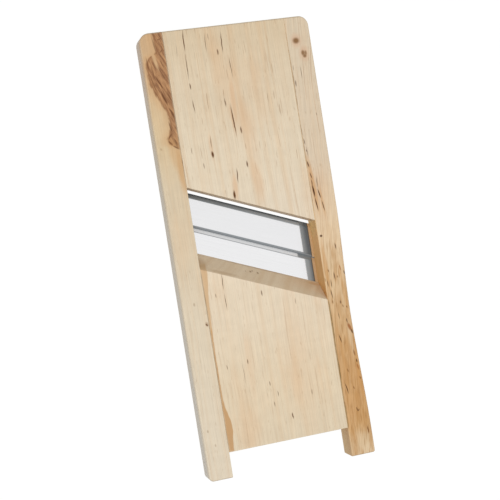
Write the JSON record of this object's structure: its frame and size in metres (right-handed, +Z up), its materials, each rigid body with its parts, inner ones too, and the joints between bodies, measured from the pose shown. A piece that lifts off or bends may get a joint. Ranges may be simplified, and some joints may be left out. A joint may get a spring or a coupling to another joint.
{
  "type": "mandoline slicer",
  "caption": "Flat wooden slicer board with two side rails and skewed steel blades set across an open throat, for slicing cabbage and other vegetables.",
  "frame": {"origin": "middle of the underside: halfway across the width and along the length, on the plane of the rails' far faces", "axes": "+X across from the left rail to the right rail, +Y along the rails from the feet to the top end, +Z up out of the side where the slices come out"},
  "size_m": [0.176, 0.4544, 0.025],
  "materials": {
    "rail_wood_left": "planed, unfinished, with a heartwood stain",
    "rail_wood_right": "planed, unfinished, orange towards the foot",
    "board_wood": "planed, unfinished, pale",
    "blade_steel": "polished flat with a ground bevel",
    "screw_steel": "plain steel, turned",
    "dowel_wood": "plain hardwood"
  },
  "bodies": {
    "root": {"left_rail": "rail_wood_left", "right_rail": "rail_wood_right", "upper_board": "board_wood", "lower_board": "board_wood", "upper_blade": "blade_steel", "lower_blade": "blade_steel", "upper_blade_screw_left_front": "screw_steel", "upper_blade_screw_left_rear": "screw_steel", "upper_blade_screw_right_front": "screw_steel", "upper_blade_screw_right_rear": "screw_steel", "lower_blade_screw_left_front": "screw_steel", "lower_blade_screw_left_rear": "screw_steel", "lower_blade_screw_right_front": "screw_steel", "lower_blade_screw_right_rear": "screw_steel", "dowel_upper_left_1": "dowel_wood", "dowel_upper_left_2": "dowel_wood", "dowel_upper_left_3": "dowel_wood", "dowel_upper_right_1": "dowel_wood", "dowel_upper_right_2": "dowel_wood", "dowel_upper_right_3": "dowel_wood", "dowel_lower_left_1": "dowel_wood", "dowel_lower_left_2": "dowel_wood", "dowel_lower_left_3": "dowel_wood", "dowel_lower_right_1": "dowel_wood", "dowel_lower_right_2": "dowel_wood", "dowel_lower_right_3": "dowel_wood"}
  },
  "joints": []
}
